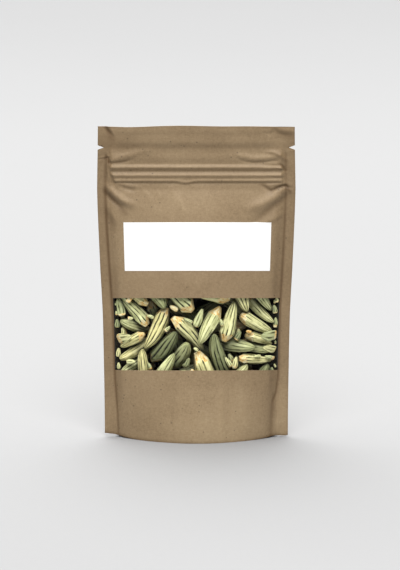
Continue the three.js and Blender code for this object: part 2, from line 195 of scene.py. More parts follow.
POUCH_WIDTH = 160
POUCH_HEIGHT = 260
SEAL_START = 71  # along the paper, from the middle
SIDE_WELD = (71.4, 73.2)  # along the paper, where it goes from loose to welded
TOP_WELD = (236, 247)  # the same, in rows
BULGE_DEPTH = 23.3
BULGE_TOP = 213.2
BULGE_TAPER = 2.3  # 1 is a straight wedge seen from the side, more is rounder
BULGE_SHOULDER = 0.85  # 1 starts the bulge as a slope, less as a rounded shoulder
SIDE_ROLL = 2.6  # how far the paper stands out further beside the seals
ROW_RISE = 0.23  # how much a row rises with each millimetre of bulge
CORNER_START = 46  # along the paper, where the foot starts to lift towards its corners
CORNER_LIFT = 2.9
CORNER_CURVE = 1.6
RIGHT_CORNER_DROP = 1.9
SHEET = 0.35  # thickness of the laminate
WELD_GAP = 0.02  # from the middle of the pouch to the inner face of each welded panel
STAND_OFF = 0.58  # how far the loose paper stands from the sealed paper, at the least
WINDOW_HALF_WIDTH = 71.2
WINDOW_BOTTOM = 56.3
WINDOW_TOP = 117
LABEL_LEFT = -59.6
LABEL_RIGHT = 61.4
LABEL_BOTTOM = 139.8
LABEL_TOP = 180.3
NOTCH_HEIGHT = 242.3
NOTCH_DEPTH = 5
NOTCH_HALF = 1.9
PRESS_END = 70.5  # along the paper, where the zip stops
DENT_AT = -8.5  # along the paper, in the lowest ridge
DENT = 1.1
DENT_WIDTH = 5
DROOP = 0.8  # how far the zip's right end hangs down
ROUNDS = 12  # of working out a place along the curve, which settles it to a hair

# How far the paper stands out over the zip and over the weld above it: rows and heights of the
# ridges and hollows from the panel upwards.
PRESSED_ROWS = (150, 206.5, 213, 215.5, 217.3, 219.8, 222.9, 226.4, 229.3, 233.9, 241.3, 247.5,
                252.7, 256, 260)
PRESSED = (0, 0.8, 1.5, 2.95, 2.4, 3.1, 1.25, 2.95, 1.55, 1.8, 1.4, 2.3, 2.3, 2.5, 2.4)
# And how far the side edges bow out beyond the flat width.
EDGE_ROWS = (0, 60, 105, 140, 208, 228, 240, 258)
EDGE_BOW = (0.5, 0.5, 0.15, 0.6, 0.7, 0.3, 0.05, -0.2)


def smoothstep(low, high, value):
    """0 at low, 1 at high, smooth in between."""
    t = np.clip((value - low) / (high - low), 0, 1)
    return t * t * (3 - 2 * t)


def bulge(z):
    """How far a panel stands out at the middle, at height z."""
    wedge = 1 - np.power(np.clip(z, 0, BULGE_TOP) / BULGE_TOP, BULGE_TAPER)
    return BULGE_DEPTH * np.power(wedge, BULGE_SHOULDER)


def arc_length(x, depth, reach):
    """The length of the bulged paper from the middle to x, which is an arc of a parabola."""
    k = np.maximum(2 * depth / reach**2, 1e-9)
    return x * np.hypot(1, k * x) / 2 + np.arcsinh(k * x) / (2 * k)


def reach_at(z):
    """Half the width that the bulged paper spans: it keeps its length."""
    depth = bulge(z)
    reach = np.full_like(depth, SEAL_START)
    for _ in range(ROUNDS):
        reach = reach * SEAL_START / arc_length(reach, depth, reach)
    return reach


def across_at(u, z):
    """The place across the pouch of what lies u along the paper from the middle."""
    along = np.abs(u)
    depth = bulge(z)
    reach = reach_at(z)
    x = along
    for _ in range(ROUNDS):
        x = x - (arc_length(x, depth, reach) - along)
    return np.sign(u) * np.where(along >= SEAL_START, reach + along - SEAL_START, x)


def half_depth(x, z):
    """How far a panel stands out at x and height z."""
    depth = bulge(z)
    share = np.abs(x) / reach_at(z)
    roll = SIDE_ROLL * np.sqrt(depth / BULGE_DEPTH) * smoothstep(1, 0.9, share)
    roll = roll * smoothstep(-20, 45, z)
    return np.clip(depth * (1 - share**2), 0, None) + roll * smoothstep(0.4, 0.88, share)


def height_at(u, row):
    """Rows that cross the bulge rise with it, and the foot lifts towards its corners."""
    low = 1 - smoothstep(0, WINDOW_BOTTOM, row)
    rise = ROW_RISE * (1 - low) * half_depth(across_at(u, row), row)
    corner = np.clip(np.abs(u) - CORNER_START, 0, None) / (POUCH_WIDTH / 2 - CORNER_START)
    return row + rise + CORNER_LIFT * corner**CORNER_CURVE * low


def sealed(u, row):
    """1 where the two panels are welded to each other, 0 where they're loose."""
    return np.maximum(smoothstep(*SIDE_WELD, np.abs(u)), smoothstep(*TOP_WELD, row))


def pressed(u, row):
    """The height that the zip and the welding jaws press into the paper."""
    dent = DENT * np.exp(-(((u - DENT_AT) / DENT_WIDTH) ** 2)) * smoothstep(217.5, 215.5, row)
    droop = DROOP * smoothstep(48, 68, u) * smoothstep(222, 227, row) * smoothstep(236, 230, row)
    at = row + dent + droop
    rows, heights = np.array(PRESSED_ROWS), np.array(PRESSED)
    k = np.clip(np.searchsorted(rows, at) - 1, 0, len(rows) - 2)
    return heights[k] + (heights[k + 1] - heights[k]) * smoothstep(rows[k], rows[k + 1], at)


def creases(strokes, u, row):
    """The height of all strokes. Each is a height, a width and the points of its line, and it
    fades out towards both ends."""
    total = np.zeros_like(u)
    for height, width, points in strokes:
        nearest = np.full_like(u, 1e9)
        fade = np.zeros_like(u)
        count = len(points) - 1
        for i, (start, end) in enumerate(zip(points, points[1:])):
            run = (end[0] - start[0], end[1] - start[1])
            t = ((u - start[0]) * run[0] + (row - start[1]) * run[1]) / (run[0] ** 2 + run[1] ** 2)
            t = np.clip(t, 0, 1)
            away = np.hypot(u - start[0] - t * run[0], row - start[1] - t * run[1])
            along = (i + t) / count
            fade = np.where(away < nearest, np.sqrt(np.sin(np.pi * (0.06 + 0.88 * along))), fade)
            nearest = np.minimum(nearest, away)
        total = total + height * fade * np.exp(-((nearest / width) ** 2))
    return total


def wobble(u, row, size, seed):
    """Soft random waves of about this size, from -1 to 1."""
    points = zip((u / size).ravel(), (row / size).ravel())
    return np.array([noise.noise((a, b, seed)) for a, b in points]).reshape(u.shape)


# Height, width and line of each fold, in millimetres. Above 0 stands out, below 0 sinks in.
FRONT_FOLDS = [
    # Top left corner and the pleat over the zip's left end.
    (-1.3, 1.7, [(-74.5, 260), (-71.5, 256), (-68.7, 252.9)]),
    (0.5, 1.0, [(-69.4, 257.5), (-66.4, 252.5)]),
    (0.9, 3.0, [(-70, 230.5), (-62, 234.5), (-50, 238), (-38, 240.5)]),
    (-0.6, 1.0, [(-69.5, 230.0), (-60, 230.8), (-52, 232.8)]),
    (-1.1, 0.9, [(-71.6, 234), (-69, 228.5)]),
    (1.0, 1.0, [(-72.2, 233), (-71.6, 222), (-69.5, 212)]),
    (-0.35, 0.6, [(-60.7, 219), (-60.9, 213.5)]),
    (-0.3, 0.6, [(-57.4, 219), (-57.2, 213.5)]),
    # The long pleat that runs from the zip's left end down into the panel, and its dimple.
    (2.3, 2.8, [(-71.5, 210.5), (-66, 204.2), (-60, 199), (-53, 195.2)]),
    (-1.5, 2.1, [(-73, 204), (-66.5, 198), (-59, 192)]),
    (-0.9, 1.7, [(-62.5, 210.6), (-56, 208.3), (-50.5, 206.8)]),
    (0.35, 1.4, [(-60, 212.2), (-54, 210.8), (-47, 210)]),
    (0.8, 2.4, [(-72, 194), (-68.5, 187), (-65, 180)]),
    # A crumpled patch beside it, and the slanting fold that ends it.
    (0.35, 1.3, [(-43, 208), (-39, 202.5), (-37.5, 197)]),
    (-0.3, 1.0, [(-38.5, 207), (-34.5, 202), (-33.5, 198.5)]),
    (0.3, 1.2, [(-33, 208), (-30, 203), (-31, 197)]),
    (0.5, 2.4, [(-21, 209.5), (-15, 199), (-9, 188)]),
    # Bumps above the zip on the right, and the pocket of loose paper under them.
    (0.35, 1.1, [(26, 238), (27.3, 234.6)]),
    (0.4, 1.2, [(33, 238.3), (36.5, 234.8)]),
    (0.35, 1.1, [(39, 238.2), (41.6, 235)]),
    (0.9, 2.4, [(36, 235.3), (47, 233.4), (56, 234), (66, 235.8)]),
    (-0.5, 1.0, [(34, 233.5), (40, 231), (47, 230.2), (54, 230.5), (60.5, 231.6), (66, 232)]),
    (1.0, 1.6, [(58, 239.5), (64, 238.6), (68.4, 236.2), (72.5, 232.2)]),
    # The zip's right end, crushed into the seal.
    (0.4, 1.4, [(57, 228.8), (68, 229.6)]),
    (-0.6, 1.0, [(57, 223.6), (65, 224.8), (72, 223)]),
    (-0.7, 0.9, [(67.5, 230.3), (71.3, 225.4), (72.6, 222.6)]),
    (-0.45, 0.9, [(58, 218.4), (71, 217.8)]),
    (0.5, 0.9, [(-15, 213.4), (-9, 213.0), (-3, 213.6)]),
    # The V below it, and the broad pleat that runs down and in from there.
    (-1.5, 1.4, [(54, 211), (60.5, 206), (66.3, 209.5), (71.5, 210.8), (75.5, 209)]),
    (0.5, 1.4, [(59, 210.8), (65.5, 212.4), (73, 212.6)]),
    (-0.3, 0.7, [(72, 208.2), (74.4, 205)]),
    (2.0, 4.2, [(73, 209), (64, 201.5), (55, 196.5), (44, 192.5)]),
    (-1.1, 3.0, [(73, 202.5), (63.5, 193.5), (55, 186), (47, 180.5)]),
    (0.7, 2.0, [(69, 187.5), (64, 183.5), (58, 180.5)]),
    # The faint diagonal in the top band, and the top right corner.
    (-0.28, 1.5, [(37, 254.5), (42.5, 250.9), (44.8, 245.5), (49.4, 239)]),
    (-0.4, 1.2, [(54, 254.6), (61, 254.2), (64.5, 257.5)]),
    (0.6, 2.0, [(62, 260.5), (70, 257), (80, 256.5)]),
    (-0.35, 1.3, [(66, 254.6), (73, 252.9), (80, 252.4)]),
    # The left seal's step beside the zip, and both seals' edges.
    (-0.3, 0.6, [(-81, 232), (-75, 233.2), (-70.5, 234.2)]),
    (0.2, 0.7, [(-81, 233.3), (-75, 234.5), (-70.5, 235.5)]),
    (-0.5, 0.9, [(-73.2, 234), (-73.2, 180), (-72, 110), (-71.2, 47), (-69.6, 24), (-67.8, -6)]),
    (-0.5, 0.9, [(72.2, 238), (72.2, 178), (71.8, 110), (71.6, 50), (70, 37), (66.4, 30),
                 (65.9, 21), (65.1, -6)]),
    (0.6, 2.2, [(71.5, 30), (73, 17), (71.5, 3)]),
    (-0.6, 2.4, [(67, 165), (67, 120), (66.5, 70), (65, 35), (64, 4)]),
    # Soft creases low on the front.
    (-0.4, 2.4, [(-19, 42), (-19.4, 22), (-19, 2)]),
    (0.4, 3.0, [(-13, 36), (-12.4, 18), (-13, 2)]),
    (0.35, 2.6, [(21, 40), (20, 20), (21, 2)]),
    (-0.35, 2.2, [(27, 44), (26, 22), (27, 2)]),
    (-0.3, 3.2, [(34, 48), (37, 26), (35, 4)]),
    (-0.3, 2.6, [(-44, 50), (-40, 34), (-42, 16)]),
]
BACK_FOLDS = [
    (0.9, 3.0, [(-70, 231), (-60, 234), (-46, 237)]),
    (2.0, 3.2, [(-71, 208), (-64, 201), (-55, 194), (-45, 190)]),
    (-0.9, 1.8, [(-60, 209), (-52, 207), (-44, 207.5)]),
    (1.0, 2.6, [(70, 231), (60, 234.5), (48, 236)]),
    (-0.8, 1.4, [(56, 210), (62, 206.5), (67, 209), (72, 210.5)]),
    (1.8, 3.8, [(71.5, 206), (65, 198), (56, 191), (47, 186)]),
    (-0.5, 0.9, [(-72.4, 238), (-72.6, 180), (-70.8, 110), (-69.6, 47), (-68.6, 24), (-67.6, -6)]),
    (-0.5, 0.9, [(72.2, 238), (72.0, 178), (70.9, 110), (70, 47), (68.4, 24), (66.8, -6)]),
    (-0.6, 4.0, [(-30, 150), (-12, 128), (4, 96)]),
    (0.7, 5.0, [(38, 160), (20, 120), (12, 80)]),
    (-0.5, 3.5, [(24, 60), (28, 32), (25, 6)]),
    (0.5, 4.0, [(-36, 70), (-30, 40), (-33, 8)]),
]


# How much darker the paper is painted, with the width and line of each stroke: painted shade in
# the creases, folds and corners and along the seals, and a painted contact shadow along the foot.
# Below 0 it's painted paler, as a painted highlight.
PAINTED_SHADE_STROKES = [
    # Painted shade: thin dark lines along the inner edges of the seals, and soft shade inside
    # them.
    (1.2, 1.1, [(-73.6, 236), (-73.4, 180), (-72, 110), (-71.2, 47), (-69.6, 24), (-67.4, -20)]),
    (0.3, 4.5, [(-72, 250), (-72, 180), (-69, 110), (-67.5, 47), (-65, -20)]),
    (1.1, 1.1, [(72.4, 238), (72.2, 178), (71.8, 110), (71.6, 50), (70, 37), (66.8, 30)]),
    (0.7, 1.8, [(67.4, 36), (66, 21), (64.4, -20)]),
    (0.45, 4.5, [(68, 190), (67.5, 120), (66.5, 60), (65, 30), (62, -20)]),
    # Painted shade on the seals themselves, darker on the left and high on the right, a painted
    # highlight low on the right, and darker lines along all their cut edges.
    (0.26, 5.0, [(-78, 290), (-77.5, 110), (-75, -50)]),
    (0.22, 5.0, [(78, 270), (78, 160), (77, 60)]),
    (-0.16, 3.5, [(76, 60), (75, 24), (75, -30)]),
    (0.5, 0.8, [(-80, 300), (-80, -40)]),
    (0.5, 0.8, [(80, 300), (80, -40)]),
    (0.45, 0.8, [(-110, 260), (0, 260.3), (110, 260)]),
    # A painted contact shadow along the lowest edge, where it meets the floor.
    (1.4, 1.5, [(-160, 0), (0, -0.3), (160, 0)]),
    # Painted shade in the top corners, and at the ends of the zip.
    (1.1, 2.2, [(-74.5, 264), (-71.5, 256), (-68.5, 250)]),
    (0.45, 9.0, [(-80, 251), (-64, 247), (-48, 244)]),
    (0.7, 4.0, [(62, 259), (72, 254), (79, 251)]),
    (0.5, 3.2, [(62, 240), (70, 235), (75, 226)]),
    (1.2, 0.9, [(66.5, 229.8), (69.8, 227.5), (72, 222.8)]),
    (1.2, 0.9, [(-72.8, 236), (-71.6, 232), (-69.4, 228)]),
    (0.8, 0.9, [(-76, 232.6), (-73, 233.4), (-71, 234)]),
    (0.6, 1.0, [(-71, 230.2), (-64, 230.4), (-56, 231.6)]),
    # Painted shade in the V and the pleat under the right end, and in the pleats under the left
    # one.
    (1.2, 1.1, [(62, 207), (69, 211.2), (73, 210.5), (76, 205)]),
    (0.6, 1.8, [(50, 213), (57.5, 210), (61, 205.5)]),
    (0.5, 2.8, [(74, 204), (63.5, 194), (55, 186.5), (48, 181)]),
    (1.1, 1.9, [(-74, 207), (-68.5, 200.5), (-62, 193.5), (-57, 187)]),
    (0.5, 2.6, [(-72, 190), (-69.5, 183), (-67, 174)]),
    # Painted highlights low in the middle, under the zip and over its crumpled patch. Painted
    # shade a little under the label, along two low creases and along the band where the jaws of
    # the top weld ended.
    (-0.16, 13, [(-48, 196), (0, 199), (48, 194)]),
    (-0.22, 3.5, [(-45, 206), (-38, 201), (-31, 204)]),
    (-0.2, 3.0, [(-22, 208), (-14.5, 197), (-9, 187)]),
    (0.25, 3.0, [(-130, 243.5), (0, 243.5), (130, 243.5)]),
    (-0.5, 26, [(-6, 74), (-1, 25), (0, -60)]),
    (-0.4, 17, [(32, 46), (33, 16), (33, -60)]),
    (-0.28, 24, [(-110, 18), (0, 14), (110, 18)]),
    (0.17, 2.2, [(-19.5, 34), (-19, 16), (-19.5, -30)]),
    (-0.14, 2.6, [(20.5, 40), (20, 18), (20.5, -30)]),
    (0.14, 2.4, [(27, 36), (26, 18), (26.5, -30)]),
    (0.13, 14, [(-62, 126), (0, 124), (62, 126)]),
]


def relief(folds, u, row, seed):
    """Folds, and the paper's own long and short waves, which the label calms."""
    loose = 0.3 * wobble(u, row, 26, seed) + 0.12 * wobble(u, row, 9, seed + 7)
    calm = 1 - 0.7 * smoothstep(LABEL_BOTTOM - 6, LABEL_BOTTOM, row) * (
        1 - smoothstep(LABEL_TOP, LABEL_TOP + 6, row)
    )
    return creases(folds, u, row) + loose * calm


def panel_face(u, row, folds, seed):
    """The outer face of a panel that faces -Y, as points in millimetres."""
    z = height_at(u, row)
    x = across_at(u, z)
    inset = 3 * smoothstep(224, 214, row) * smoothstep(205, 212, row) * (u < 0)
    ends = 1 - smoothstep(PRESS_END - inset - 2.2, PRESS_END - inset + 0.6, np.abs(u))
    loose = STAND_OFF + half_depth(x, z) + ends * pressed(u, row) + relief(folds, u, row, seed)
    x = x + np.sign(u) * np.interp(row, EDGE_ROWS, EDGE_BOW) * smoothstep(56, 78, np.abs(u))
    return x, -(WELD_GAP + SHEET + (1 - sealed(u, row)) * loose), z


def shared_warp(u, row):
    """How far the welded edges of both panels lean towards -Y. The top weld is drawn to the
    front by the zip, but not at its ends."""
    drawn = 1 - 0.85 * smoothstep(50, 80, np.abs(u))
    lean = drawn * (STAND_OFF + pressed(u, row)) * smoothstep(234, 240, row)
    return sealed(u, row) * (relief(FRONT_FOLDS, u, row, 3) + lean)


def spread(*stops):
    """Rows or columns: (start, spacing) pairs and a last end, evenly spaced in each stretch."""
    lines = []
    for (start, spacing), (end, _) in zip(stops, stops[1:]):
        count = max(round((end - start) / spacing), 1)
        lines += list(np.linspace(start, end, count, endpoint=False))
    return np.array([*lines, stops[-1][0]])


HALF_COLUMNS = spread((0, 1.25), (-LABEL_LEFT, 0.9), (LABEL_RIGHT, 1.0), (66, 0.6),
                      (WINDOW_HALF_WIDTH, 0.5), (75, 0.8), (POUCH_WIDTH / 2, 1))
COLUMNS = np.array([*-HALF_COLUMNS[:0:-1], *HALF_COLUMNS])
ROWS = spread((0, 1.3), (WINDOW_BOTTOM, 1.6), (WINDOW_TOP, 1.6), (LABEL_BOTTOM, 1.6),
              (LABEL_TOP, 1.1), (206, 0.5), (NOTCH_HEIGHT - NOTCH_HALF, NOTCH_HALF / 3),
              (NOTCH_HEIGHT, NOTCH_HALF / 3), (NOTCH_HEIGHT + NOTCH_HALF, 0.9), (POUCH_HEIGHT, 1))


def add_grid(name, columns, rows):
    """A flat grid primitive with these columns and rows, and their u and row at each point."""
    bpy.ops.object.select_all(action="DESELECT")
    bpy.ops.mesh.primitive_grid_add(x_subdivisions=len(columns) - 1, y_subdivisions=len(rows) - 1)
    made = bpy.context.object
    made.name = name
    u, row = np.meshgrid(columns, rows)
    return made, u, row


def put_points(made, x, y, z):
    """Moves the points of a grid to these places, given in millimetres."""
    points = np.stack([x, y, z], axis=-1).reshape(-1, 3) * MM
    made.data.vertices.foreach_set("co", points.astype(np.float32).ravel())
    made.data.update()


def thicken(made, thickness, offset=-1):
    """Gives a sheet its wall, inwards from its face, and smooths all but its cut edges. The
    inner face takes the second material, if there is one."""
    bpy.ops.object.select_all(action="DESELECT")
    made.select_set(True)
    bpy.context.view_layer.objects.active = made
    wall = made.modifiers.new("wall", "SOLIDIFY")
    wall.thickness = thickness * MM
    wall.offset = offset
    wall.material_offset = 1
    bpy.ops.object.modifier_apply(modifier="wall")
    bpy.ops.object.shade_smooth_by_angle(angle=math.radians(50))


def add_panel(name, folds, seed, turn):
    """One panel. turn is 1 for the front one and -1 for the back one, which is turned round."""
    panel, u, row = add_grid(name, COLUMNS, ROWS)
    x, y, z = panel_face(u, row, folds, seed)
    y = y - turn * shared_warp(turn * u, row)
    x = turn * x
    notch = NOTCH_DEPTH * np.clip(1 - np.abs(row - NOTCH_HEIGHT) / NOTCH_HALF, 0, 1)
    x = x - np.sign(x) * notch * smoothstep(72, POUCH_WIDTH / 2, np.abs(u))
    z = z - RIGHT_CORNER_DROP * smoothstep(65, 79, turn * u) * (1 - smoothstep(0, 50, row))
    top = smoothstep(POUCH_HEIGHT - 14, POUCH_HEIGHT, row)  # its edge is cut a little wavy
    z = z + top * (0.1 + 0.5 * np.cos(x / 26) - 0.25 * np.sin(x / 11))
    put_points(panel, x, turn * y, z)
    # Painted shade and painted highlights for the paper, from the strokes above.
    painted_shade_amount = np.clip(creases(PAINTED_SHADE_STROKES, u, row), -1, 1.4).astype(np.float32)
    panel.data.attributes.new("painted_shade_amount", "FLOAT", "POINT").data.foreach_set("value", painted_shade_amount.ravel())
    return panel


front_panel = add_panel("kraft_front", FRONT_FOLDS, 3, 1)
bpy.ops.object.mode_set(mode="EDIT")
bpy.ops.mesh.select_mode(type="FACE")
bpy.ops.mesh.select_all(action="DESELECT")
bpy.ops.object.mode_set(mode="OBJECT")
cell_u, cell_row = np.meshgrid((COLUMNS[1:] + COLUMNS[:-1]) / 2, (ROWS[1:] + ROWS[:-1]) / 2)
in_window = np.abs(cell_u) < WINDOW_HALF_WIDTH
in_window &= (cell_row > WINDOW_BOTTOM) & (cell_row < WINDOW_TOP)
front_panel.data.polygons.foreach_set("select", in_window.ravel())
bpy.ops.object.mode_set(mode="EDIT")
bpy.ops.mesh.delete(type="FACE")
bpy.ops.object.mode_set(mode="OBJECT")
back_panel = add_panel("kraft_back", BACK_FOLDS, 11, -1)

kraft, place = new_material("kraft_laminate", {"Roughness": 0.62, "Specular IOR Level": 0.5})
clouds = place.noise(24, 3, 0.55)
mottle = place.noise(420, 4, 0.7)
long_fibres = place.stretched(260, 900, 2400).noise(1, 4, 0.65, 0.8)
short_fibres = place.stretched(1500, 900, 380).noise(1, 3, 0.6, 1.2)
shade = 0.28 * clouds + 0.3 * mottle + 0.24 * long_fibres + 0.18 * short_fibres
paper_colour = shade.node("ValToRGB", {"stops": [
    (0.34, (0.162, 0.104, 0.049)),
    (0.48, (0.240, 0.164, 0.086)),
    (0.56, (0.271, 0.190, 0.103)),
    (0.68, (0.343, 0.250, 0.145)),
]}, {"Fac": shade})
grains = place.node("TexVoronoi", {}, {"Vector": place, "Scale": 165, "Randomness": 1.0})
flecks = (1 - grains.step(0.07, 0.14)) * place.noise(60, 1).step(0.46, 0.56)
paper_colour = (0.6 * flecks).between(paper_colour, (0.075, 0.048, 0.026, 1))
painted_shade_amount = kraft.node_tree.nodes.new("ShaderNodeAttribute")
painted_shade_amount.attribute_name = "painted_shade_amount"
painted_shade_amount = Value(painted_shade_amount.outputs["Fac"])
# Full painted shade takes this share of the red, green and blue, which leaves a browner paper;
# below 0 the painted highlight makes it paler.
painted_shade_factor = painted_shade_amount.node("CombineXYZ", {}, {
    channel: 1 - share * painted_shade_amount for channel, share in enumerate((0.40, 0.46, 0.54))
})
paper_colour = painted_shade_factor.node("VectorMath", {"operation": "MULTIPLY"}, {0: paper_colour, 1: painted_shade_factor})
paper_colour.feed(kraft, "Base Color")
(0.54 + 0.16 * mottle).feed(kraft, "Roughness")
fibre_height = 0.5 * long_fibres + 0.3 * short_fibres + 0.35 * mottle - 0.4 * flecks
fibre_height.bump(0.00007).feed(kraft, "Normal")

# Painted shade: a near-black liner on the inner faces of the panels, standing in for the deep
# shade between the pods behind the window.
liner_shade, place = new_material("painted_shade_liner", {"Roughness": 0.5})
liner_tone_noise = place.noise(180, 3)
liner_tone_noise.between((0.010, 0.008, 0.005, 1), (0.018, 0.014, 0.010, 1)).feed(liner_shade, "Base Color")
liner_tone_noise.bump(0.00005).feed(liner_shade, "Normal")

for panel, node in ((front_panel, "front_panel"), (back_panel, "back_panel")):
    panel.data.materials.append(kraft)
    panel.data.materials.append(liner_shade)
    thicken(panel, SHEET)
    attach(panel, "root")
    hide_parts(node)

# ---- Bottom gusset --------------------------------------------------------------------------
# A third piece of the same laminate, folded upwards between the panels and heat sealed to
# both along the foot. It opens out into the base that makes the pouch stand.

GUSSET_HALF_WIDTH = 67
GUSSET_SEAL = 8  # height of the seal to the panels at the middle
GUSSET_SEAL_RISE = 30  # and how much higher it runs at the sides
GUSSET_FOLD = 18  # height of the fold, the same way
GUSSET_FOLD_RISE = 22
GUSSET_RISE_AT = 64  # along the paper, where both reach that height
GUSSET_SHEET = 0.3
GUSSET_INSIDE = 0.25  # from the panel to the gusset that is sealed to it
WEB = 0.58  # the share of each half that hangs free between the seal and the fold

gusset_columns = spread((-GUSSET_HALF_WIDTH, 1.3), (GUSSET_HALF_WIDTH, 1))
gusset_steps = spread((-1, 0.025), (1, 1))  # -1 and 1 are the feet, 0 the fold
bottom_gusset, u, step = add_grid("kraft_gusset", gusset_columns, gusset_steps)
share = (u / GUSSET_RISE_AT) ** 2
side = np.abs(step)
seal_top = GUSSET_SEAL + GUSSET_SEAL_RISE * share
fold_z = GUSSET_FOLD + GUSSET_FOLD_RISE * share
# Inside the foot it hangs lower than the lifted edges of the panels, but not at its ends.
foot_z = (0.4 + 0.6 * smoothstep(61, 67, np.abs(u))) * height_at(u, np.zeros_like(u))
on_seal = smoothstep(WEB - 0.03, WEB + 0.04, side)
seal_z = foot_z + (seal_top - foot_z) * np.clip((1 - side) / (1 - WEB), 0, 1)
slack = np.clip(side / WEB, 0, 1)
web_z = fold_z + (seal_top - fold_z) * slack + 1.6 * np.sin(np.pi * slack) * (1 - share * 0.9)
gusset_z = np.where(side > WEB, seal_z, web_z)
gusset_x = across_at(u, gusset_z)
wall = np.clip(half_depth(gusset_x, gusset_z) - GUSSET_INSIDE, 0.2, None)
top_wall = half_depth(across_at(u, seal_top), seal_top)
top_wall = np.clip(top_wall - GUSSET_INSIDE, 0.2, None)
gusset_y = np.where(side > WEB, wall, top_wall * np.sin(np.pi / 2 * slack) ** 1.2)
gusset_y = np.where(side == 0, 0, gusset_y) + 0.25 * wobble(u, 60 * step, 17, 5) * (1 - on_seal)
put_points(bottom_gusset, gusset_x, np.sign(step + 1e-12) * gusset_y, gusset_z)
thicken(bottom_gusset, GUSSET_SHEET, 1)
bottom_gusset.data.materials.append(kraft)
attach(bottom_gusset, "root")
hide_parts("bottom_gusset")

# ---- Window film ----------------------------------------------------------------------------
# Clear glossy film laminated behind the punched window. It runs on under the paper above and
# below, and is drawn tight but for a few faint ripples.

FILM = 0.08
FILM_BEHIND = 0.42  # from the panel's outer face to the film's
FILM_SLACK = 0.12  # how much further back it lies away from the seals, and its ripples
FILM_HALF_WIDTH = 71.7
FILM_LAP = 6

film_columns = spread((-FILM_HALF_WIDTH, 1.4), (FILM_HALF_WIDTH, 1))
film_rows = spread((WINDOW_BOTTOM - FILM_LAP, 1.5), (WINDOW_TOP + FILM_LAP, 1))
window_film, u, row = add_grid("clear_window", film_columns, film_rows)
x, y, z = panel_face(u, row, FRONT_FOLDS, 3)
ripple = FILM_SLACK * wobble(u, row * 0.4, 9, 21)
inside = 1 - smoothstep(64, 68, np.abs(u))
put_points(window_film, x, y + FILM_BEHIND + inside * (FILM_SLACK + ripple), z)
thicken(window_film, FILM)

clear_film, place = new_material("clear_film", {
    "Base Color": (1, 1, 1, 1), "Metallic": 1.0, "Roughness": 0.09,
})
tree = clear_film.node_tree
gloss = tree.nodes["Principled BSDF"]
see_through = tree.nodes.new("ShaderNodeBsdfTransparent")
mixed = tree.nodes.new("ShaderNodeMixShader")
facing = Value(tree.nodes.new("ShaderNodeLayerWeight").outputs["Facing"])
tree.links.new((0.002 + 0.35 * facing**5).socket, mixed.inputs[0])
tree.links.new(see_through.outputs[0], mixed.inputs[1])
tree.links.new(gloss.outputs[0], mixed.inputs[2])
tree.links.new(mixed.outputs[0], tree.nodes["Material Output"].inputs["Surface"])
window_film.data.materials.append(clear_film)
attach(window_film, "root")
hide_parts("window_film")

# ---- Label ----------------------------------------------------------------------------------
# A sticker of smooth white paper, left blank, pressed flat over the front panel.

LABEL = 0.12
LABEL_PROUD = 0.15  # from the panel's outer face to the label's

label_columns = COLUMNS[(COLUMNS >= LABEL_LEFT - 0.01) & (COLUMNS <= LABEL_RIGHT + 0.01)]
label_rows = ROWS[(ROWS >= LABEL_BOTTOM - 0.01) & (ROWS <= LABEL_TOP + 0.01)]
label, u, row = add_grid("blank_label", label_columns, label_rows)
x, y, z = panel_face(u, row, FRONT_FOLDS, 3)
put_points(label, x, y - LABEL_PROUD, z)
thicken(label, LABEL)

label_paper, place = new_material("label_paper", {"Roughness": 0.45})
tone = place.noise(900, 3, 0.6)
tone.between((0.90, 0.90, 0.885, 1), (0.95, 0.95, 0.94, 1)).feed(label_paper, "Base Color")
tone.bump(0.00002).feed(label_paper, "Normal")
label.data.materials.append(label_paper)
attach(label, "root")
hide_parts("label")

# ---- Zip ------------------------------------------------------------------------------------
# Two strips of milky polyethylene, one with ribs and one with channels, pressed shut inside
# the panels. The solids of the model have the right shape and only get their finish.

zip_plastic, place = new_material("zip_plastic", {"Roughness": 0.4, "Subsurface Weight": 0.1})
streaks = place.stretched(40, 900, 900).noise(1, 2)
streaks.between((0.72, 0.71, 0.66, 1), (0.82, 0.81, 0.76, 1)).feed(zip_plastic, "Base Color")
streaks.bump(0.00003).feed(zip_plastic, "Normal")
for node in ("zip_track_front", "zip_track_back"):
    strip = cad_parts[node]
    strip.data.materials.clear()
    strip.data.materials.append(zip_plastic)

# ---- Okra pods ------------------------------------------------------------------------------
# Small okra, trimmed to a peeled cone at the stem and dried whole: ribs of pale sage with dark
# furrows between them, a wrinkled skin, and cream to orange flesh where the knife went.

POD_STATIONS = [0, 0.015, 0.04, 0.07, 0.1, 0.13, 0.16, 0.19, 0.22, 0.26, 0.3, 0.34, 0.38, 0.42,
                0.46, 0.5, 0.54, 0.58, 0.62, 0.66, 0.7, 0.74, 0.78, 0.82, 0.86, 0.9, 0.93, 0.96,
                0.98, 0.993]
GIRTH_AT = [0, 0.08, 0.15, 0.3, 0.45, 0.6, 0.7, 0.8, 0.89, 0.95, 0.993]
GIRTH = [0.4, 0.72, 0.98, 1.0, 1.0, 0.94, 0.85, 0.71, 0.52, 0.33, 0.12]
POD_COUNT = 52
POD_SIDES = 84
POD_BEND = 0.04  # the bow, as a share of the length
TIP_BEND = 0.35  # how strongly the tip may curl to either side
FURROWS = 10  # two beside each of the five ribs
UNCUT_STEM = 0.32  # the share of the length over which the pod was full before it was peeled
KNIFE_REACH = 0.35  # how far from the stem a cut can run
TONES = 15381  # seed of how dark or pale each pod is
# The okra's painted shade: its colour is darkened where pods crowd each other and deeper in the
# bag.
CROWDED = (-0.4, 3.3)  # gaps to the nearest other pod, from dark to open
DEEP = (3, 15)  # depths behind the front panel, from lit to shaded
DEEP_SHADE = 0.75
DARKEST = 0.04


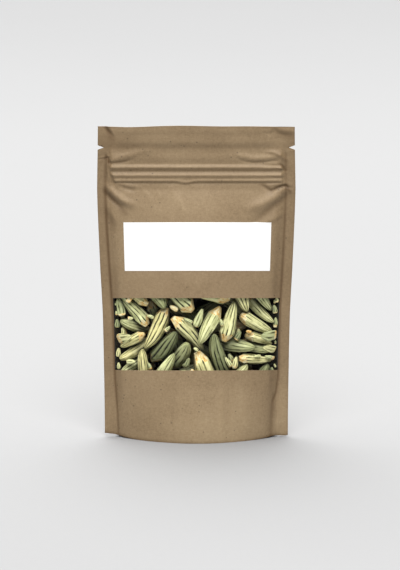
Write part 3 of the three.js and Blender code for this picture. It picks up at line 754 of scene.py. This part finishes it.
def turned_blank(sides, stations):
    """A smooth blank, 1 long and 1 in radius, along Z from its stem: a disc drawn out ring by
    ring, with a point in the middle of both ends. Also radius, angle and place of its points."""
    bpy.ops.object.select_all(action="DESELECT")
    bpy.ops.mesh.primitive_circle_add(vertices=sides, radius=1, fill_type="NGON")
    made = bpy.context.object
    bpy.ops.object.mode_set(mode="EDIT")
    bpy.ops.mesh.select_mode(type="FACE")
    bpy.ops.mesh.select_all(action="SELECT")
    for low, high in zip(stations, stations[1:]):
        bpy.ops.mesh.extrude_region_move(TRANSFORM_OT_translate={"value": (0, 0, high - low)})
    bpy.ops.mesh.select_all(action="SELECT")
    bpy.ops.mesh.normals_make_consistent(inside=False)
    bpy.ops.mesh.select_all(action="DESELECT")
    bpy.ops.object.mode_set(mode="OBJECT")
    for face in made.data.polygons:
        face.select = len(face.vertices) == sides
    bpy.ops.object.mode_set(mode="EDIT")
    bpy.ops.mesh.poke()
    bpy.ops.object.mode_set(mode="OBJECT")
    points = np.array([v.co for v in made.data.vertices], float)
    around = np.arctan2(points[:, 1], points[:, 0])
    return made, np.hypot(points[:, 0], points[:, 1]), around, points[:, 2]


def bow_at(t):
    """How far a pod's middle line is off its axis at t along it, as a share of its length."""
    return POD_BEND * (1 - (2 * t - 1) ** 2)


def pose_of(node):
    """Length, girth radius, stem, axis and bow direction of a packed pod, from its points."""
    points = np.array([v.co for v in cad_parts[node].data.vertices], float)
    points = np.unique(np.round(points / MM, 4), axis=0)
    middle = points.mean(0)
    tip = points[np.argmax(np.linalg.norm(points - middle, axis=1))]
    from_tip = np.linalg.norm(points - tip, axis=1)
    stem = points[from_tip > from_tip.max() - 0.8].mean(0)
    length = np.linalg.norm(tip - stem)
    axis = (tip - stem) / length
    along = (points - stem) @ axis
    aside = points - stem - np.outer(along, axis)
    belt = np.abs(along / length - 0.45) < 0.02
    bow = aside[belt].mean(0)
    radius = np.linalg.norm(aside[belt] - bow, axis=1).mean()
    return length, radius, stem, axis, bow / np.linalg.norm(bow)


def grain_noise(angle, t, around, along, seed):
    """Noise on a pod's skin, so many grains round it and along it, without a seam."""
    points = zip(np.cos(angle) * around, np.sin(angle) * around, t * along + 31.7 * seed)
    return np.array([noise.noise(point) for point in points])


def peel(angle, t, draw):
    """The flat cuts that the knife left round the stem, as shares of the girth radius."""
    cuts = draw.integers(5, 8)
    nearest = np.full_like(t, 9.0)
    for k in range(cuts):
        facing = 2 * np.pi * (k + draw.uniform(-0.25, 0.25)) / cuts
        reached = draw.uniform(0.15, 0.31)
        stub = draw.uniform(0.25, 0.5)
        lean = stub + t / reached * (1.0 - stub)
        nearest = np.minimum(nearest, lean / np.clip(np.cos(angle - facing), 0.2, 1))
    return nearest


def painted_okra_shade(points, spine_at, spine_radius):
    """Painted shade for the okra's colour: from 0, painted dark where pods touch or lie deep in
    the bag, to 1 in the open.
    """
    gap = np.linalg.norm(points[:, None] - spine_at[None], axis=-1) - spine_radius
    clear = smoothstep(*CROWDED, gap.min(1))
    depth = points[:, 1] + half_depth(np.clip(points[:, 0], -68, 68), points[:, 2])
    return (DARKEST + (1 - DARKEST) * clear) * (1 - DEEP_SHADE * smoothstep(*DEEP, depth))


def shaped_copy(blank, name, points):
    """A copy of a turned blank whose points are moved to these places, in millimetres."""
    made = bpy.data.objects.new(name, blank.data.copy())
    bpy.context.scene.collection.objects.link(made)
    made.data.vertices.foreach_set("co", (points * MM).astype(np.float32).ravel())
    return made


def add_skin(made, rib, cut, tone, shade, skin):
    """Writes what the okra material reads, and dresses the mesh in it."""
    for name, kind, values in (
        ("rib", "FLOAT", rib),
        ("cut", "FLOAT", cut),
        ("tone", "FLOAT", np.full_like(rib, tone)),
        ("shade", "FLOAT", shade),
        ("skin", "FLOAT_VECTOR", skin),
    ):
        layer = made.data.attributes.new(name, kind, "POINT")
        field = "vector" if kind == "FLOAT_VECTOR" else "value"
        layer.data.foreach_set(field, values.astype(np.float32).ravel())
    made.data.polygons.foreach_set("use_smooth", [True] * len(made.data.polygons))
    made.data.materials.append(dried_okra)


dried_okra, place = new_material("dried_okra", {"Roughness": 0.7})
attribute = {}
for name in ("rib", "cut", "tone", "shade", "skin"):
    reader = dried_okra.node_tree.nodes.new("ShaderNodeAttribute")
    reader.attribute_name = name
    attribute[name] = Value(reader.outputs["Vector" if name == "skin" else "Fac"])
streaks = attribute["skin"].stretched(1.1, 1.1, 0.16).noise(1, 4, 0.7)
blotches = attribute["skin"].noise(0.35, 3, 0.6)
ribness = attribute["rib"] + 0.5 * (streaks - 0.5) + 0.3 * (blotches - 0.5)
skin_colour = ribness.node("ValToRGB", {"stops": [
    (0.1, (0.020, 0.020, 0.008)),
    (0.3, (0.160, 0.160, 0.065)),
    (0.5, (0.520, 0.505, 0.262)),
    (0.72, (0.830, 0.800, 0.470)),
    (0.95, (0.950, 0.930, 0.630)),
]}, {"Fac": ribness})
cast = attribute["tone"].node("ValToRGB", {"stops": [
    (0.0, (0.28, 0.32, 0.24)),
    (0.2, (0.56, 0.62, 0.51)),
    (0.4, (0.88, 0.94, 0.80)),
    (0.7, (1.0, 1.0, 0.84)),
    (1.0, (0.98, 0.93, 0.72)),
]}, {"Fac": attribute["tone"]})
skin_colour = skin_colour.node("Mix", {"data_type": "RGBA", "blend_type": "MULTIPLY"},
                               {0: 1.0, 6: skin_colour, 7: cast}, 2)
flesh = streaks * 0.45 + blotches * 0.55
flesh_colour = flesh.node("ValToRGB", {"stops": [
    (0.33, (0.330, 0.140, 0.030)),
    (0.43, (0.780, 0.450, 0.120)),
    (0.50, (0.890, 0.700, 0.310)),
    (0.59, (0.920, 0.870, 0.570)),
]}, {"Fac": flesh})
cut_here = (attribute["cut"] + 0.3 * (streaks - 0.5)).step(0.3, 0.5)
lit_colour = cut_here.between(skin_colour, flesh_colour)
# Painted shade: where the shade attribute is low, the okra's colour goes near black.
attribute["shade"].between((0.004, 0.004, 0.002, 1), lit_colour).feed(dried_okra, "Base Color")
(0.62 + 0.2 * streaks).feed(dried_okra, "Roughness")
(streaks + 0.5 * blotches).bump(0.0004).feed(dried_okra, "Normal")

blank, blank_radius, blank_angle, blank_t = turned_blank(POD_SIDES, POD_STATIONS)
poses = [pose_of(f"okra_pod_{number:02d}") for number in range(1, POD_COUNT + 1)]
spine_t = np.linspace(0.04, 0.97, 14)
spines = [
    stem + np.outer(spine_t * length, axis) + np.outer(bow_at(spine_t) * length, bow)
    for length, _, stem, axis, bow in poses
]
spine_radii = [radius * np.interp(spine_t, GIRTH_AT, GIRTH) for _, radius, *_ in poses]
for number, (length, radius, stem, axis, bow) in enumerate(poses, 1):
    draw = np.random.default_rng(number)
    # Ribs and furrows, a little twisted and wandering, and wrinkles across them.
    turn = blank_angle + draw.uniform(-0.5, 0.5) * (blank_t - 0.45)
    turn = turn + 0.12 * grain_noise(blank_angle, blank_t, 0.6, 2.5, number)
    turn = turn + 0.04 * grain_noise(blank_angle, blank_t, 1.5, 8, number + 30)
    main_ridge = np.cos(5 * turn)
    furrow = ((1 - np.cos(FURROWS * turn)) / 2) ** draw.uniform(5, 9)
    furrow = furrow * draw.uniform(0.5, 1.1)
    furrow = furrow * np.clip(1 + 2 * grain_noise(turn, blank_t, 1.3, 4, number + 90), 0.15, 1.4)
    wrinkle = grain_noise(turn, blank_t, 2.6, 7, number + 60)
    dent = grain_noise(turn, blank_t, 0.9, 2.2, number + 120)
    # Each pod's own fullness, taper and shoulder, and the cone that the knife left.
    girth = np.interp(blank_t, GIRTH_AT, GIRTH) ** draw.uniform(0.65, 0.95)
    girth = girth * (1.03 - draw.uniform(0, 0.34) * np.clip(blank_t - 0.2, 0, 1))
    shoulder = draw.uniform(0, 0.1) * np.exp(-(((blank_t - 0.2) / 0.06) ** 2))
    body = girth * (1.0 + 0.04 * main_ridge - 0.1 * furrow + shoulder)
    body = body * (1 - 0.12 * np.clip(dent, 0, 1) - 0.06 * np.abs(wrinkle))
    knife = peel(blank_angle, blank_t, draw)
    whole = np.where(blank_t < UNCUT_STEM, np.maximum(girth, 0.99) / girth * body, body)
    cut = np.clip((whole - knife) / 0.04, 0, 1) * (blank_t < KNIFE_REACH)
    r = blank_radius * np.minimum(whole, knife - 0.05 * cut) * radius
    # Its place: on the solid's axis, bowed, with the tip curled and the stem's end dished.
    bend = bow_at(blank_t) * length
    bend = bend + TIP_BEND * length * draw.uniform(-1, 1) * np.clip(blank_t - 0.6, 0, 1) ** 2
    hollow = np.where((blank_radius < 0.5) & (blank_t < 0.5), 0.02 * length, 0)
    points = (
        stem
        + np.outer(blank_t * length + hollow, axis)
        + np.outer(r * np.cos(blank_angle) + bend, bow)
        + np.outer(r * np.sin(blank_angle), np.cross(axis, bow))
    )
    pod = shaped_copy(blank, f"dried_okra_{number:02d}", points)
    # What its material reads: dark furrows and a duller tip, a tone and grain of its own, and
    # painted shade where it crowds other pods or lies deep in the bag.
    rib = 0.78 + 0.08 * main_ridge - 0.75 * furrow - 0.3 * np.abs(wrinkle)
    rib = rib * (1 - 0.25 * smoothstep(0.8, 1.0, blank_t))
    others = [k for k in range(POD_COUNT) if k != number - 1]
    shade = painted_okra_shade(
        points, np.concatenate([spines[k] for k in others]),
        np.concatenate([spine_radii[k] for k in others]),
    )
    skin = np.stack(
        [np.cos(turn) * radius, np.sin(turn) * radius, blank_t * length + 40 * number], -1
    )
    cut = np.where(blank_t < 0.001, 1, cut)  # the end where the stem was is all cut
    add_skin(pod, rib, cut, np.random.default_rng((TONES, number)).uniform(), shade, skin)
    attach(pod, "root")
    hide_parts(f"okra_pod_{number:02d}")
bpy.data.objects.remove(blank)

# ---- Okra bits ------------------------------------------------------------------------------
# Pod ends, slivers of skin and chips of cut flesh that broke off in the bag. They lodge in the
# gaps between the pods and in the narrow space beside the seals.

BIT_STATIONS = [0, 0.05, 0.16, 0.3, 0.46, 0.62, 0.78, 0.92]
BIT_GIRTH = [0.6, 0.85, 0.97, 1.0, 0.96, 0.84, 0.62, 0.3]
BIT_SIZES = np.linspace(5.2, 1.5, 16000)  # half the width of each one that is tried
SLIVER_SIZES = np.linspace(2.3, 0.8, 6000)  # and then of slivers, only beside the seals
CUT_SHARES = [0.01, 0.01, 0.01, 0.1, 0.2, 0.2, 1]  # of a bit's length: some are all flesh
BITS_WITHIN = 67.6
SLIVERS_WITHIN = 69.6
UPRIGHT_BEYOND = 60
PAST_BULGE = 0.15  # how far out of the plain bulge a bit may lie: the film is further out
LEAST_ROOM = 0.25

bit_blank, bit_radius, bit_angle, bit_t = turned_blank(20, BIT_STATIONS)
stations = np.array(BIT_STATIONS)
taken_at, taken_radius = np.concatenate(spines), np.concatenate(spine_radii)
pod_at, pod_radius = taken_at, taken_radius
bits = []
draw = np.random.default_rng(8)
tries = [(size, False) for size in BIT_SIZES] + [(size, True) for size in SLIVER_SIZES]
for size, is_sliver in tries:
    width = size * draw.uniform(0.85, 1.1)
    length = width * draw.uniform(3, 5.5)
    lean = draw.uniform(0, np.pi)
    # Most are tried near the sides, where the pods leave the widest gaps.
    x, z = 67 * np.sin(draw.uniform(-np.pi / 2, np.pi / 2)), draw.uniform(52, 129)
    if is_sliver:
        x = np.sign(x) * draw.uniform(64, 68.6)
    if abs(x) > UPRIGHT_BEYOND:
        lean = draw.uniform(1.25, 1.9)
    path_x = x + (stations - 0.5) * length * np.cos(lean)
    path_z = z + (stations - 0.5) * length * np.sin(lean)
    outer = np.abs(path_x) + width * abs(np.sin(lean))
    room = half_depth(outer, path_z) + PAST_BULGE
    within = SLIVERS_WITHIN if is_sliver else BITS_WITHIN
    if outer.max() > within or room.min() < LEAST_ROOM:
        continue
    # It lies behind the front panel, hardly touches a pod or bit and hides none.
    thick = min(width * draw.uniform(0.6, 0.95), room.min())
    sunk = min(draw.uniform(2, 9), 2 * (room.min() - thick))
    path = np.stack([path_x, thick - room + sunk, path_z], -1)
    gap = np.linalg.norm(path[:, None] - taken_at[None], axis=-1) - taken_radius
    beside = np.linalg.norm((path[:, None] - pod_at[None])[..., [0, 2]], axis=-1) - pod_radius
    covers = (pod_at[None, :, 1] - path[:, None, 1] < 11) & (beside < -0.2 * pod_radius)
    if gap.min() < 0.85 * width or covers.any():
        continue
    taken_at = np.concatenate([taken_at, path])
    taken_radius = np.concatenate([taken_radius, np.full(len(path), 0.8 * width)])
    shape = np.interp(bit_t, stations, BIT_GIRTH) * bit_radius
    shape = shape * (1 + 0.25 * grain_noise(bit_angle, bit_t, 1.3, 3, len(bits)))
    centre = np.stack([np.interp(bit_t, stations, path[:, k]) for k in range(3)], -1)
    points = centre + np.outer(
        shape * np.cos(bit_angle) * width, (-np.sin(lean), 0, np.cos(lean))
    )
    points[:, 1] += shape * np.sin(bit_angle) * thick
    bit = shaped_copy(bit_blank, "okra_bit", points)
    rib = 0.8 - 0.7 * ((1 + np.cos(6 * bit_angle + 3 * bit_t)) / 2) ** 5
    cut = np.where(bit_t < draw.choice(CUT_SHARES), 0.9, 0.0)
    skin = np.stack([
        np.cos(bit_angle) * width, np.sin(bit_angle) * width, bit_t * length + 17 * len(bits)
    ], -1)
    # The bits take the same painted shade as the pods.
    add_skin(bit, rib, cut, draw.uniform(0, 0.8), painted_okra_shade(points, pod_at, pod_radius), skin)
    bits.append(bit)
bpy.data.objects.remove(bit_blank)
bpy.ops.object.select_all(action="DESELECT")
for bit in bits:
    bit.select_set(True)
bpy.context.view_layer.objects.active = bits[0]
bpy.ops.object.join()
okra_bits = bpy.context.object
okra_bits.name = "okra_bits"
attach(okra_bits, "root")
